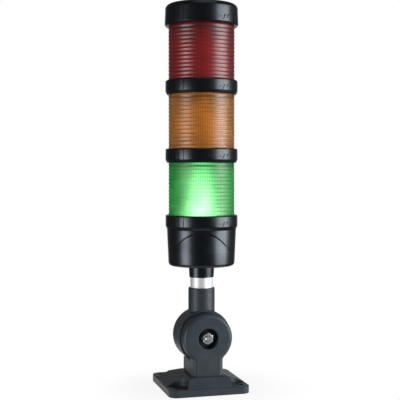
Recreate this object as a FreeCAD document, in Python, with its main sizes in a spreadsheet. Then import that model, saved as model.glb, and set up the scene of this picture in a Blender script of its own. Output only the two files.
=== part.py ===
import FreeCAD, Part
import math
import os
import re

import Sketcher

# Stack light: three 70 mm signal modules on a base, carried by an aluminium tube in a
# foot bracket that tilts about a cross bolt.
# Frame: X to the right, Y to the back, Z up. The origin is on the underside of the foot,
# below the axis of the stack. All lengths are in millimetres, all angles in degrees.

SIZES = {
    # Foot plate, platform and upright
    "plate_width": 80.0,
    "plate_depth": 84.0,
    "plate_front": 35.0,
    "plate_thick": 7.0,
    "plate_corner": 8.0,
    "plate_round": 0.8,
    "platform_inset": 1.0,
    "platform_top": 17.0,
    "platform_margin": 2.5,
    "platform_hip": 2.5,
    "platform_round": 1.6,
    "screw_spacing_x": 64.0,
    "screw_spacing_y": 66.0,
    "screw_hole_radius": 2.75,
    "screw_pocket_radius": 12.0,
    "core_depth": 3.5,
    "core_wall": 4.0,
    "core_length": 21.0,
    "post_width": 30.0,
    "post_back": 14.0,
    "post_edge": 1.5,
    "post_flare": 1.2,
    "neck_round": 5.0,
    "lug_radius": 24.5,
    "lug_thick": 12.6,
    "lug_round": 4.0,
    "split_front": 13.4,
    "disc_gap": 0.3,
    "saddle_gap": 0.5,
    "pivot_level": 53.0,
    "recess_radius": 10.2,
    "recess_depth": 8.6,
    "recess_edge": 0.5,
    # Pivot bolt, nut and washer
    "bolt_radius": 3.0,
    "bolt_fit": 0.08,
    "bolt_proud": 1.5,
    "bolt_bevel": 0.8,
    "head_radius": 5.0,
    "head_height": 6.0,
    "head_clearance": 0.6,
    "head_sunk": 0.4,
    "key_flats": 5.0,
    "key_depth": 3.0,
    "nut_flats": 10.0,
    "nut_height": 5.0,
    "nut_face": 9.5,
    "nut_bevel_angle": 30.0,
    "washer_radius": 5.5,
    "washer_thick": 1.6,
    # Arm with the tube socket
    "arm_radius": 26.3,
    "arm_back": 14.0,
    "arm_round": 3.0,
    "arm_edge": 0.8,
    "socket_radius": 13.0,
    "socket_length": 47.0,
    "socket_depth": 20.0,
    "socket_edge": 1.0,
    "cable_way_radius": 8.0,
    "outlet_radius": 5.5,
    "outlet_level": 15.5,
    "grommet_bore": 3.75,
    "grommet_flange": 7.5,
    "grommet_rim": 1.5,
    "grommet_length": 6.0,
    "grommet_round": 0.7,
    "grub_radius": 2.0,
    "arm_grub_drop": 6.0,
    "arm_grub_spacing": 9.0,
    # Tube
    "tube_radius": 11.0,
    "tube_wall": 1.2,
    "tube_shown": 10.3,
    "tube_insert": 27.5,
    "tube_fit": 0.05,
    # Base housing
    "neck_tip_radius": 12.0,
    "neck_radius": 12.6,
    "neck_length": 11.5,
    "base_height": 36.0,
    "base_bottom_radius": 32.4,
    "base_top_radius": 33.95,
    "base_wall": 3.6,
    "base_round": 3.5,
    "boss_radius": 15.0,
    "boss_height": 14.0,
    "boss_grub_level": 7.0,
    "boss_grub_count": 3,
    "arch_radius": 28.5,
    "arch_drop": 1.8,
    "arch_depth": 2.0,
    "arch_fade": 22.0,
    "stack_turn": 15.5,
    # Bayonet joint between two tiers
    "spigot_radius": 30.9,
    "spigot_wall": 1.6,
    "spigot_height": 5.6,
    "plate_drop": 0.2,
    "plate_ledge": 1.3,
    "ledge_depth": 2.0,
    "seat_gap": 0.1,
    "bayonet_gap": 0.3,
    "bayonet_ledge": 3.4,
    "bayonet_travel": 25.0,
    "bayonet_slack": 0.6,
    "bayonet_lugs": 3,
    "lug_reach": 1.2,
    "lug_height": 1.5,
    "lug_play": 0.2,
    "lug_angle": 20.0,
    # Collar of a module
    "collar_radius": 35.35,
    "collar_height": 13.9,
    "collar_lip": 1.4,
    "collar_taper": 3.2,
    "collar_round": 1.5,
    "roof_gap": 0.6,
    "floor_thick": 1.8,
    "floor_hole_radius": 2.5,
    "seal_wall": 1.4,
    "seal_inset": 0.4,
    "seal_sunk": 0.7,
    "line_angle": 119.0,
    "line_width": 1.2,
    "line_depth": 0.6,
    "grip_pitch": 9.0,
    "grip_count": 4,
    "grip_width": 1.0,
    "grip_depth": 0.35,
    # Lens
    "lens_radius": 32.35,
    "lens_wall": 2.45,
    "green_lens_shown": 50.8,
    "lens_shown": 52.5,
    "rib_count": 14,
    "rib_depth": 0.6,
    "flute_count": 72,
    "flute_depth": 0.5,
    "lens_fit": 0.05,
    # Light source and contacts of a module
    "board_radius": 26.0,
    "board_thick": 1.6,
    "led_count": 12,
    "led_circle": 15.5,
    "led_size": 3.5,
    "led_height": 1.5,
    "guide_radius": 12.5,
    "guide_top_radius": 8.0,
    "guide_wall": 1.2,
    "guide_gap": 0.5,
    "pin_count": 5,
    "pin_circle": 5.3,
    "pin_radius": 0.9,
    "pin_gap": 0.1,
    "plate_thick_top": 1.6,
    "base_pin_depth": 4.0,
    # Terminal block
    "block_width": 32.0,
    "block_depth": 15.0,
    "block_height": 14.0,
    "terminal_count": 5,
    "terminal_pitch": 6.0,
    "terminal_screw_radius": 1.9,
    "terminal_screw_length": 4.0,
    "terminal_screw_level": 4.5,
    "wire_hole_radius": 1.6,
    "wire_hole_depth": 8.0,
    # Cap
    "cap_height": 21.2,
    "cap_radius": 35.5,
    "cap_lip_radius": 36.0,
    "cap_lip_height": 1.6,
    "cap_lip_bevel": 1.0,
    "cap_flare": 14.0,
    "cap_round": 5.0,
    "cap_wall": 2.6,
    "cap_shelf": 2.8,
}

# How far a cut runs past the surface that it opens, and how close two equal lengths are
OVERRUN = 1.0
NEAR = 1e-4

doc = FreeCAD.newDocument("stack_light")
sheet = doc.addObject("Spreadsheet::Sheet", "sizes")
for row, (alias, number) in enumerate(SIZES.items(), start=1):
    sheet.set(f"A{row}", alias)
    sheet.set(f"B{row}", str(number))
    sheet.setAlias(f"B{row}", alias)
doc.recompute()

# Levels above the underside of the foot
TUBE_FOOT = "pivot_level + socket_length - socket_depth"
NECK_FOOT = "pivot_level + socket_length + tube_shown"
BASE_SEAT = f"{NECK_FOOT} + neck_length + base_height"
GREEN_TOP = "collar_height + green_lens_shown"
UPPER_TOP = "collar_height + lens_shown"
AMBER_SEAT = f"{BASE_SEAT} + {GREEN_TOP}"
RED_SEAT = f"{AMBER_SEAT} + {UPPER_TOP}"
CAP_SEAT = f"{RED_SEAT} + {UPPER_TOP}"

# Levels and radii of the bayonet, from the seat of the tier above
SOCKET_RADIUS = "spigot_radius + bayonet_gap"
SLOT_RADIUS = "spigot_radius + lug_reach + bayonet_gap"
SPIGOT_BORE = "spigot_radius - spigot_wall"
PLATE_TOP = "spigot_height - plate_drop"
PLATE_FOOT = f"{PLATE_TOP} - plate_thick_top"
ROOF = "spigot_height + roof_gap"
FLOOR_TOP = f"{ROOF} + floor_thick"
BOARD_TOP = f"{FLOOR_TOP} + board_thick"
SEAL_OUTER = f"{SOCKET_RADIUS} - seal_inset"
SEAL_INNER = f"{SEAL_OUTER} - seal_wall"
LENS_BORE = "lens_radius - lens_wall"

# Depths along Y at the pivot
LUG_FRONT = "split_front + lug_thick"
RECESS_FLOOR = f"{LUG_FRONT} - recess_depth"
ARM_FRONT = "split_front - disc_gap"
HEAD_SEAT = "arm_back - head_sunk - head_height"

nodes = []


def full(expression):
    """The expression with every name of a size pointing at its cell."""
    return re.sub(r"[a-z_]+", lambda word: cell(word.group()), expression)


def cell(word):
    return f"sizes.{word}" if word in SIZES else word


def value(expression):
    return float(sheet.evalExpression(full(expression)))


def bind(thing, prop, expression):
    """Tie a property to the sheet."""
    thing.setExpression(prop, full(expression))


def place(thing, level="0", turned=False):
    """Set a sub-part up the stack, turned with the stack where it belongs to it."""
    if turned:
        clockwise = FreeCAD.Rotation(FreeCAD.Vector(0, 0, -1), value("stack_turn"))
        thing.Placement = FreeCAD.Placement(FreeCAD.Vector(), clockwise)
        bind(thing, "Placement.Rotation.Angle", "stack_turn")
    bind(thing, "Placement.Base.z", level)


def new_body(label, level="0", turned=False, node=True):
    body = doc.addObject("PartDesign::Body", label)
    body.Label = label
    place(body, level, turned)
    if node:
        nodes.append(body)
    return body


def new_sketch(body, role, level="0", turn=None):
    """Sketch on an origin plane: moved along its normal, or turned about its upright axis."""
    sketch = body.newObject("Sketcher::SketchObject", "Sketch")
    origin_plane = next(item for item in body.Origin.OriginFeatures if item.Role == role)
    sketch.AttachmentSupport = [(origin_plane, "")]
    sketch.MapMode = "FlatFace"
    if turn is not None:
        upright = FreeCAD.Rotation(FreeCAD.Vector(0, 1, 0), value(turn))
        sketch.AttachmentOffset = FreeCAD.Placement(FreeCAD.Vector(), upright)
        bind(sketch, "AttachmentOffset.Rotation.Angle", turn)
    bind(sketch, "AttachmentOffset.Base.z", level)
    return sketch


def fixed_point(curve, point, place_x, place_y):
    """Constraints, each with its expression, that fix a point of a curve in its sketch."""
    held = []
    for kind, axis, expression in (("DistanceX", -2, place_x), ("DistanceY", -1, place_y)):
        if expression == "0":
            held.append((Sketcher.Constraint("PointOnObject", curve, point, axis), None))
        else:
            distance = Sketcher.Constraint(kind, -1, 1, curve, point, value(expression))
            held.append((distance, expression))
    return held


def constrain(sketch, held):
    """Add constraints in one go, then tie each that has an expression to the sheet."""
    numbers = sketch.addConstraint([constraint for constraint, _ in held])
    for number, (_, expression) in zip(numbers, held):
        if expression is not None:
            bind(sketch, f"Constraints[{number}]", expression)


def outline(body, role, corners, level="0", turn=None):
    """Closed outline of straight lines through corners given as pairs of expressions."""
    sketch = new_sketch(body, role, level, turn)
    add_outline(sketch, corners)
    return sketch


def add_outline(sketch, corners):
    first = sketch.GeometryCount
    spots = [FreeCAD.Vector(value(x), value(y), 0) for x, y in corners]
    following = spots[1:] + spots[:1]
    sketch.addGeometry([Part.LineSegment(*ends) for ends in zip(spots, following)])
    held = []
    for index, (x, y) in enumerate(corners):
        line, joined = first + index, first + (index + 1) % len(corners)
        held.append((Sketcher.Constraint("Coincident", line, 2, joined, 1), None))
        held += fixed_point(line, 1, x, y)
    constrain(sketch, held)


def rectangle(left, right, bottom, top):
    return [(left, bottom), (right, bottom), (right, top), (left, top)]


def circles(body, role, centres, radius, level="0"):
    """Circles of one radius about centres given as pairs of expressions."""
    sketch = new_sketch(body, role, level)
    for x, y in centres:
        centre = FreeCAD.Vector(value(x), value(y), 0)
        shape = Part.Circle(centre, FreeCAD.Vector(0, 0, 1), value(radius))
        curve = sketch.addGeometry(shape)
        size = Sketcher.Constraint("Radius", curve, value(radius))
        constrain(sketch, fixed_point(curve, 3, x, y) + [(size, radius)])
    return sketch


def pad(body, sketch, length, reverse=False):
    """Solid from the sketch along its normal, or the other way."""
    feature = body.newObject("PartDesign::Pad", "Pad")
    feature.Profile = sketch
    feature.Reversed = reverse
    bind(feature, "Length", length)
    return feature


def pocket(body, sketch, length=None, reverse=False):
    """Cut from the sketch against its normal, or along it; right through with no length."""
    feature = body.newObject("PartDesign::Pocket", "Pocket")
    feature.Profile = sketch
    feature.Reversed = reverse
    if length is None:
        feature.Type = "ThroughAll"
    else:
        bind(feature, "Length", length)
    return feature


def turn_about(body, kind, sketch, angle=None, axis="V_Axis"):
    """Revolution or Groove about an axis of a sketch, whole or a sector of it."""
    feature = body.newObject(f"PartDesign::{kind}", kind)
    feature.Refine = False
    feature.Profile = sketch
    feature.ReferenceAxis = (sketch, [axis])
    if angle is not None:
        feature.Midplane = True
        bind(feature, "Angle", angle)
    return feature


def ring_pattern(body, originals, axis, count, angle="360"):
    """Copies of features about an axis; the body ends with them."""
    pattern = body.newObject("PartDesign::PolarPattern", "PolarPattern")
    pattern.Refine = False
    pattern.Originals = originals
    pattern.Axis = axis
    pattern.Angle = value(angle)
    bind(pattern, "Angle", angle)
    bind(pattern, "Occurrences", count)
    body.Tip = pattern
    return pattern


def round_edges(body, radius, wanted, kind="Fillet"):
    """Fillet or Chamfer on the edges of the body that the test picks."""
    doc.recompute()
    base = body.Tip
    edges = base.Shape.Edges
    names = [f"Edge{number}" for number, edge in enumerate(edges, start=1) if wanted(edge)]
    if not names:
        raise ValueError(f"{body.Label}: no edge to round")
    feature = body.newObject(f"PartDesign::{kind}", kind)
    feature.Base = (base, names)
    bind(feature, "Radius" if kind == "Fillet" else "Size", radius)
    return feature


def near(first, second):
    return abs(first - second) < NEAR


def is_ring(edge, radius):
    """Whether an edge is a circle, or an arc, of this radius."""
    if edge.Degenerated:
        return False
    return isinstance(edge.Curve, Part.Circle) and near(edge.Curve.Radius, radius)


def polygon(flats, sides=6):
    """Corners of a regular polygon, one corner on the upright axis."""
    step = 360 / sides
    reach = f"({flats} / 2 / cos({step / 2}))"
    turns = [90 + step * side for side in range(sides)]
    return [(f"{reach} * cos({turn})", f"{reach} * sin({turn})") for turn in turns]


# ---------------------------------------------------------------- foot


def bracket_foot():
    """Moulded foot: plate, hipped platform, upright with the front lug of the pivot."""
    body = new_body("bracket_foot")
    half_width = "plate_width / 2"
    back = "plate_depth - plate_front"
    plate = rectangle(f"-{half_width}", half_width, "-plate_front", back)
    pad(body, outline(body, "XY_Plane", plate), "plate_thick")
    round_edges(body, "plate_corner", lambda edge: near(edge.tangentAt(0).z ** 2, 1))
    rim = value("plate_thick")
    round_edges(body, "plate_round", lambda edge: near(edge.BoundBox.ZMin, rim))

    low = rectangle(
        f"-{half_width} + platform_inset",
        f"{half_width} - platform_inset",
        "-plate_front + platform_inset",
        f"{back} - platform_inset",
    )
    high = rectangle(
        "-post_width / 2 - platform_margin",
        "post_width / 2 + platform_margin",
        f"-({LUG_FRONT}) - platform_margin",
        "post_back + platform_margin",
    )
    platform = body.newObject("PartDesign::AdditiveLoft", "Platform")
    platform.Profile = outline(body, "XY_Plane", low, "plate_thick")
    platform.Sections = [outline(body, "XY_Plane", high, "platform_top")]
    platform.Ruled = True
    foot = value("platform_top")

    def is_hip(edge):
        return near(edge.BoundBox.ZMin, rim) and near(edge.BoundBox.ZMax, foot)

    round_edges(body, "platform_hip", is_hip)
    round_edges(body, "platform_round", lambda edge: near(edge.BoundBox.ZMin, foot))

    middle_y = "plate_depth / 2 - plate_front"
    screws = [
        (f"{x} * screw_spacing_x / 2", f"{middle_y} + {y} * screw_spacing_y / 2")
        for x in (-1, 1)
        for y in (-1, 1)
    ]
    pockets = circles(body, "XY_Plane", screws, "screw_pocket_radius", "plate_thick")
    pocket(body, pockets, "platform_top", reverse=True)
    holes = circles(body, "XY_Plane", screws, "screw_hole_radius", "plate_thick")
    pocket(body, holes, "plate_thick")

    block = rectangle("-post_width / 2", "post_width / 2", f"-({LUG_FRONT})", "post_back")
    post = outline(body, "XY_Plane", block, "plate_thick")
    pad(body, post, "pivot_level - plate_thick")
    side = value("post_width / 2")
    rear = value("post_back")

    def is_rear_corner(edge):
        middle = edge.CenterOfMass
        return near(middle.y, rear) and near(abs(middle.x), side) and middle.z > foot

    round_edges(body, "post_edge", is_rear_corner)
    lug = circles(body, "XZ_Plane", [("0", "pivot_level")], "lug_radius", "split_front")
    pad(body, lug, "lug_thick")

    shoulder = value("pivot_level") - math.sqrt(value("lug_radius") ** 2 - side**2)
    front = -value(LUG_FRONT)

    def is_neck(edge):
        middle = edge.CenterOfMass
        level = near(middle.z, shoulder) and near(abs(middle.x), side)
        return level and near(edge.tangentAt(edge.FirstParameter).y ** 2, 1)

    round_edges(body, "neck_round", is_neck)

    def is_front_rim(edge):
        box = edge.BoundBox
        return near(box.YMin, front) and near(box.YMax, front) and not near(box.ZMax, foot)

    round_edges(body, "lug_round", is_front_rim)

    def is_post_foot(edge):
        box = edge.BoundBox
        level = near(box.ZMin, foot) and near(box.ZMax, foot)
        return level and abs(edge.CenterOfMass.x) < side + NEAR and box.YMin > front - NEAR

    round_edges(body, "post_flare", is_post_foot)

    saddle = circles(
        body, "XZ_Plane", [("0", "pivot_level")], "arm_radius + saddle_gap", "split_front"
    )
    pocket(body, saddle)
    recess = circles(body, "XZ_Plane", [("0", "pivot_level")], "recess_radius", LUG_FRONT)
    pocket(body, recess, "recess_depth")
    mouth = value("recess_radius")
    round_edges(
        body,
        "recess_edge",
        lambda edge: is_ring(edge, mouth) and near(edge.BoundBox.YMin, front),
    )
    bore = circles(
        body, "XZ_Plane", [("0", "pivot_level")], "bolt_radius + bolt_fit", LUG_FRONT
    )
    pocket(body, bore)

    cores = new_sketch(body, "XY_Plane")
    for x in (-1, 1):
        for y in (-1, 1):
            inner_x, outer_x = f"{x} * core_wall / 2", f"{x} * (core_wall / 2 + core_length)"
            inner_y = f"{middle_y} + {y} * core_wall / 2"
            outer_y = f"{middle_y} + {y} * (core_wall / 2 + core_length)"
            add_outline(cores, rectangle(inner_x, outer_x, inner_y, outer_y))
    pocket(body, cores, "core_depth", reverse=True)
    return body


def pivot_bolt():
    """Socket head screw through the arm and the lug, its head at the back."""
    body = new_body("pivot_bolt", "pivot_level")
    tail = f"{RECESS_FLOOR} + washer_thick + nut_height + bolt_proud"
    centre = [("0", "0")]
    shank = circles(body, "XZ_Plane", centre, "bolt_radius", f"-({HEAD_SEAT})")
    pad(body, shank, f"{HEAD_SEAT} + {tail}")
    tip = -value(tail)
    round_edges(body, "bolt_bevel", lambda edge: near(edge.BoundBox.YMax, tip), "Chamfer")
    head = circles(body, "XZ_Plane", centre, "head_radius", f"-({HEAD_SEAT})")
    pad(body, head, "head_height", reverse=True)
    top = f"-({HEAD_SEAT} + head_height)"
    socket = outline(body, "XZ_Plane", polygon("key_flats"), top)
    pocket(body, socket, "key_depth", reverse=True)
    return body


def pivot_washer():
    body = new_body("pivot_washer", "pivot_level")
    centre = [("0", "0")]
    disc = circles(body, "XZ_Plane", centre, "washer_radius", RECESS_FLOOR)
    pad(body, disc, "washer_thick")
    front = f"{RECESS_FLOOR} + washer_thick"
    pocket(body, circles(body, "XZ_Plane", centre, "bolt_radius + bolt_fit", front))
    return body


def pivot_nut():
    body = new_body("pivot_nut", "pivot_level")
    back = f"{RECESS_FLOOR} + washer_thick"
    pad(body, outline(body, "XZ_Plane", polygon("nut_flats"), back), "nut_height")
    front = f"{back} + nut_height"
    reach = f"(nut_flats / 2 / cos(30) + {OVERRUN})"
    depth = f"({reach} - nut_face / 2) * tan(nut_bevel_angle)"
    for face, inwards in ((front, "-"), (back, "+")):
        bevel = [
            (f"-({face})", "nut_face / 2"),
            (f"-({face})", reach),
            (f"-({face} {inwards} {depth})", reach),
        ]
        turn_about(body, "Groove", outline(body, "YZ_Plane", bevel), axis="H_Axis")
    bore = circles(body, "XZ_Plane", [("0", "0")], "bolt_radius + bolt_fit", front)
    pocket(body, bore)
    return body


# ---------------------------------------------------------------- arm and tube


def pivot_arm():
    """Tilting arm: disc on the bolt, with a socket for the tube and the cable's way out."""
    body = new_body("pivot_arm", "pivot_level")
    centre = [("0", "0")]
    disc = circles(body, "XZ_Plane", centre, "arm_radius", ARM_FRONT)
    pad(body, disc, f"{ARM_FRONT} + arm_back", reverse=True)
    radius = value("arm_radius")
    back = value("arm_back")
    round_edges(
        body, "arm_round", lambda edge: is_ring(edge, radius) and near(edge.BoundBox.YMin, back)
    )
    front = -value(ARM_FRONT)
    round_edges(
        body, "arm_edge", lambda edge: is_ring(edge, radius) and near(edge.BoundBox.YMax, front)
    )
    pad(body, circles(body, "XY_Plane", centre, "socket_radius"), "socket_length")
    rim = value("socket_length")
    round_edges(body, "socket_edge", lambda edge: near(edge.BoundBox.ZMin, rim))
    bore = circles(body, "XY_Plane", centre, "tube_radius + tube_fit", "socket_length")
    pocket(body, bore, "socket_depth")
    way_top = "socket_length - socket_depth"
    way = circles(body, "XY_Plane", centre, "cable_way_radius", way_top)
    pocket(body, way, f"{way_top} - outlet_level + outlet_radius + {OVERRUN}")
    outlet = circles(body, "XZ_Plane", [("0", "outlet_level")], "outlet_radius")
    pocket(body, outlet, "arm_back")
    bolt_way = circles(body, "XZ_Plane", centre, "bolt_radius + bolt_fit", ARM_FRONT)
    pocket(body, bolt_way)
    head_bore = circles(
        body, "XZ_Plane", centre, "head_radius + head_clearance", f"-({HEAD_SEAT})"
    )
    pocket(body, head_bore)
    holes = circles(body, "XZ_Plane", grub_centres(), "grub_radius")
    pocket(body, holes, f"socket_radius + {OVERRUN}")
    return body


def grub_centres():
    """Centres of the two screws of the socket, measured down from its rim."""
    upper = "socket_length - arm_grub_drop"
    return [("0", upper), ("0", f"{upper} - arm_grub_spacing")]


def arm_grub_screws():
    """Two headless screws at the back of the socket that hold the tube."""
    body = new_body("arm_grub_screws", "pivot_level")
    start = "tube_radius + tube_fit"
    centres = grub_centres()
    screws = circles(body, "XZ_Plane", centres, "grub_radius - tube_fit", f"-({start})")
    pad(body, screws, f"socket_radius - ({start})", reverse=True)
    return body


def cable_grommet():
    """Rubber grommet in the outlet at the back of the arm."""
    body = new_body("cable_grommet", "pivot_level")
    centre = [("0", "outlet_level")]
    face = "-arm_back"
    flange = circles(body, "XZ_Plane", centre, "grommet_flange", face)
    pad(body, flange, "grommet_rim", reverse=True)
    rear = value("arm_back + grommet_rim")
    round_edges(body, "grommet_round", lambda edge: near(edge.BoundBox.YMin, rear))
    sleeve = circles(body, "XZ_Plane", centre, "outlet_radius - tube_fit", face)
    pad(body, sleeve, "grommet_length")
    bore = circles(body, "XZ_Plane", centre, "grommet_bore", "grommet_length - arm_back")
    pocket(body, bore)
    return body


def tube():
    """Aluminium tube between the arm and the base."""
    body = new_body("tube", TUBE_FOOT)
    length = "socket_depth + tube_shown + tube_insert"
    wall = rectangle("tube_radius - tube_wall", "tube_radius", "0", length)
    turn_about(body, "Revolution", outline(body, "XZ_Plane", wall))
    return body


# ---------------------------------------------------------------- bayonet


def add_spigot_lugs(body, seat):
    """Lugs round the spigot that rises above a seat."""
    foot = f"{seat} + bayonet_ledge + lug_play"
    section = rectangle(
        "spigot_radius - spigot_wall / 2", "spigot_radius + lug_reach", foot, f"{foot} + lug_height"
    )
    sketch = outline(body, "XZ_Plane", section)
    lug = turn_about(body, "Revolution", sketch, "lug_angle")
    ring_pattern(body, [lug], (sketch, ["V_Axis"]), "bayonet_lugs")


def cut_bayonet_slots(body):
    """L-shaped slots of the socket: a way in for each lug, and a way round under the roof."""
    inner = "spigot_radius"
    across = outline(
        body,
        "XZ_Plane",
        rectangle(inner, SLOT_RADIUS, "bayonet_ledge", "spigot_height"),
        turn="-bayonet_travel / 2",
    )
    slot = turn_about(
        body, "Groove", across, "lug_angle + bayonet_travel + 2 * bayonet_slack"
    )
    upward = outline(
        body,
        "XZ_Plane",
        rectangle(inner, SLOT_RADIUS, f"-{OVERRUN}", "bayonet_ledge + lug_play"),
        turn="-bayonet_travel",
    )
    entry = turn_about(body, "Groove", upward, "lug_angle + 2 * bayonet_slack")
    ring_pattern(body, [slot, entry], (across, ["V_Axis"]), "bayonet_lugs")


def cut_grips(body, radius, height, bottom):
    """Upright alignment line and grip grooves, in two groups on opposite sides."""
    for side in (0, 180):
        line = outline(
            body,
            "XZ_Plane",
            rectangle(f"{radius} - line_depth", f"{radius} + {OVERRUN}", "0", height),
            turn=f"{side} - line_angle",
        )
        turn_about(body, "Groove", line, "line_width")
        first = outline(
            body,
            "XZ_Plane",
            rectangle(f"{radius} - grip_depth", f"{radius} + {OVERRUN}", bottom, height),
            turn=f"{side} - line_angle - grip_count * grip_pitch",
        )
        grip = turn_about(body, "Groove", first, "grip_width")
        around = (first, ["V_Axis"])
        ring_pattern(body, [grip], around, "grip_count", "(grip_count - 1) * grip_pitch")


def pin_centres():
    """Centres of the contact pins, the first one straight ahead."""
    step = f"360 / {int(value('pin_count'))}"
    return [
        (f"pin_circle * sin({step} * {pin})", f"-pin_circle * cos({step} * {pin})")
        for pin in range(int(value("pin_count")))
    ]


# ---------------------------------------------------------------- base


def base_housing():
    """Bowl-shaped base with the neck for the tube, a spigot on top and an arched step."""
    shell = new_body("base_shell", node=False)
    seat = "neck_length + base_height"
    shoulder = f"{seat} - seat_gap"
    ledge = f"{SPIGOT_BORE} - plate_ledge"
    bore = "tube_radius + tube_fit"
    section = [
        (bore, "0"),
        ("neck_tip_radius", "0"),
        ("neck_radius", "neck_length"),
        ("base_bottom_radius", "neck_length"),
        ("base_top_radius", shoulder),
        ("spigot_radius", shoulder),
        ("spigot_radius", f"{seat} + spigot_height"),
        (SPIGOT_BORE, f"{seat} + spigot_height"),
        (SPIGOT_BORE, f"{seat} + {PLATE_FOOT}"),
        (ledge, f"{seat} + {PLATE_FOOT}"),
        (ledge, f"{seat} - ledge_depth"),
        ("base_top_radius - base_wall", f"{seat} - 2 * ledge_depth"),
        ("base_bottom_radius - base_wall", "neck_length + base_wall"),
        ("boss_radius", "neck_length + base_wall"),
        ("boss_radius", "neck_length + boss_height"),
        (bore, "neck_length + boss_height"),
    ]
    turn_about(shell, "Revolution", outline(shell, "XZ_Plane", section))
    bottom = value("base_bottom_radius")
    round_edges(shell, "base_round", lambda edge: is_ring(edge, bottom))
    add_spigot_lugs(shell, seat)
    grub = circles(
        shell, "XZ_Plane", [("0", "neck_length + boss_grub_level")], "grub_radius"
    )
    hole = pocket(shell, grub, f"boss_radius + {OVERRUN}", reverse=True)
    upright = next(item for item in shell.Origin.OriginFeatures if item.Role == "Z_Axis")
    ring_pattern(shell, [hole], (upright, [""]), "boss_grub_count")

    # Inside the arch the wall leans in towards the top, and meets the bowl where the step ends
    outer = doc.addObject("Part::Cylinder", "arch_ring_outer")
    bind(outer, "Radius", "base_top_radius + base_wall")
    bind(outer, "Height", "arch_fade")
    inner = doc.addObject("Part::Cone", "arch_ring_inner")
    flare = "(base_top_radius - base_bottom_radius) / base_height"
    bind(inner, "Radius1", f"base_top_radius - {flare} * arch_fade")
    bind(inner, "Radius2", "base_top_radius - arch_depth")
    bind(inner, "Height", "arch_fade")
    for piece in (outer, inner):
        bind(piece, "Placement.Base.z", f"{seat} - arch_fade")
    ring = doc.addObject("Part::Cut", "arch_ring")
    ring.Base = outer
    ring.Tool = inner
    arch = doc.addObject("Part::Cylinder", "arch")
    level_axis = FreeCAD.Rotation(FreeCAD.Vector(1, 0, 0), 90)
    arch.Placement = FreeCAD.Placement(FreeCAD.Vector(), level_axis)
    bind(arch, "Radius", "arch_radius")
    bind(arch, "Height", "4 * base_top_radius")
    bind(arch, "Placement.Base.y", "2 * base_top_radius")
    bind(arch, "Placement.Base.z", f"{seat} - arch_drop - arch_radius")
    waste = doc.addObject("Part::Common", "arch_waste")
    waste.Base = ring
    waste.Tool = arch
    housing = doc.addObject("Part::Cut", "base_housing")
    housing.Base = shell
    housing.Tool = waste
    place(housing, NECK_FOOT, turned=True)
    nodes.append(housing)
    return housing


def neck_grub_screws():
    """Headless screws in the boss inside the base that hold it on the tube."""
    body = new_body("neck_grub_screws", NECK_FOOT, turned=True)
    start = "tube_radius + tube_fit"
    centre = [("0", "neck_length + boss_grub_level")]
    screw = circles(body, "XZ_Plane", centre, "grub_radius - tube_fit", start)
    first = pad(body, screw, f"boss_radius - ({start}) + {OVERRUN}")
    upright = next(item for item in body.Origin.OriginFeatures if item.Role == "Z_Axis")
    ring_pattern(body, [first], (upright, [""]), "boss_grub_count")
    return body


def contact_plate(label, seat_level):
    """Disc in the top of a spigot that holds the contact pins."""
    body = new_body(label, f"{seat_level} + {PLATE_FOOT}", turned=True)
    disc = circles(body, "XY_Plane", [("0", "0")], f"{SPIGOT_BORE} - tube_fit")
    pad(body, disc, "plate_thick_top")
    holes = circles(body, "XY_Plane", pin_centres(), "pin_radius + tube_fit", "plate_thick_top")
    pocket(body, holes)
    return body


def contact_pins(label, foot_level, length):
    """Ring of brass contact pins."""
    body = new_body(label, foot_level, turned=True)
    pad(body, circles(body, "XY_Plane", pin_centres(), "pin_radius"), length)
    return body


def terminal_centres():
    count = int(value("terminal_count"))
    middle = (count - 1) / 2
    return [f"terminal_pitch * {number - middle}" for number in range(count)]


def terminal_block():
    """Terminal block under the contact plate of the base, its wire entries at the bottom."""
    top = f"{BASE_SEAT} + {PLATE_FOOT}"
    body = new_body("terminal_block", f"{top} - block_height", turned=True)
    half_width, half_depth = "block_width / 2", "block_depth / 2"
    block = rectangle(f"-{half_width}", half_width, f"-{half_depth}", half_depth)
    pad(body, outline(body, "XY_Plane", block), "block_height")
    entries = [(x, "0") for x in terminal_centres()]
    wires = circles(body, "XY_Plane", entries, "wire_hole_radius")
    pocket(body, wires, "wire_hole_depth", reverse=True)
    pins = circles(body, "XY_Plane", pin_centres(), "pin_radius + tube_fit", "block_height")
    pocket(body, pins, "base_pin_depth")
    holes = [(x, "terminal_screw_level") for x in terminal_centres()]
    screws = circles(body, "XZ_Plane", holes, "terminal_screw_radius + tube_fit", half_depth)
    pocket(body, screws, "terminal_screw_length")
    return body


def terminal_screws():
    """One clamping screw at each terminal."""
    top = f"{BASE_SEAT} + {PLATE_FOOT}"
    body = new_body("terminal_screws", f"{top} - block_height", turned=True)
    centres = [(x, "terminal_screw_level") for x in terminal_centres()]
    inner = "block_depth / 2 - terminal_screw_length"
    heads = circles(body, "XZ_Plane", centres, "terminal_screw_radius", inner)
    pad(body, heads, "terminal_screw_length")
    return body


# ---------------------------------------------------------------- signal modules


def socket_section():
    """Inner side of a collar's section: bayonet bore, roof with the seal's groove, floor."""
    return [
        (SOCKET_RADIUS, "0"),
        ("collar_radius - collar_lip", "0"),
        ("collar_radius", "collar_taper"),
        ("collar_radius", "collar_height"),
        ("lens_radius + lens_fit", "collar_height"),
        ("lens_radius + lens_fit", FLOOR_TOP),
        ("floor_hole_radius", FLOOR_TOP),
        ("floor_hole_radius", ROOF),
        (SEAL_INNER, ROOF),
        (SEAL_INNER, f"{ROOF} + seal_sunk"),
        (SEAL_OUTER, f"{ROOF} + seal_sunk"),
        (SEAL_OUTER, ROOF),
        (SOCKET_RADIUS, ROOF),
    ]


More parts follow.
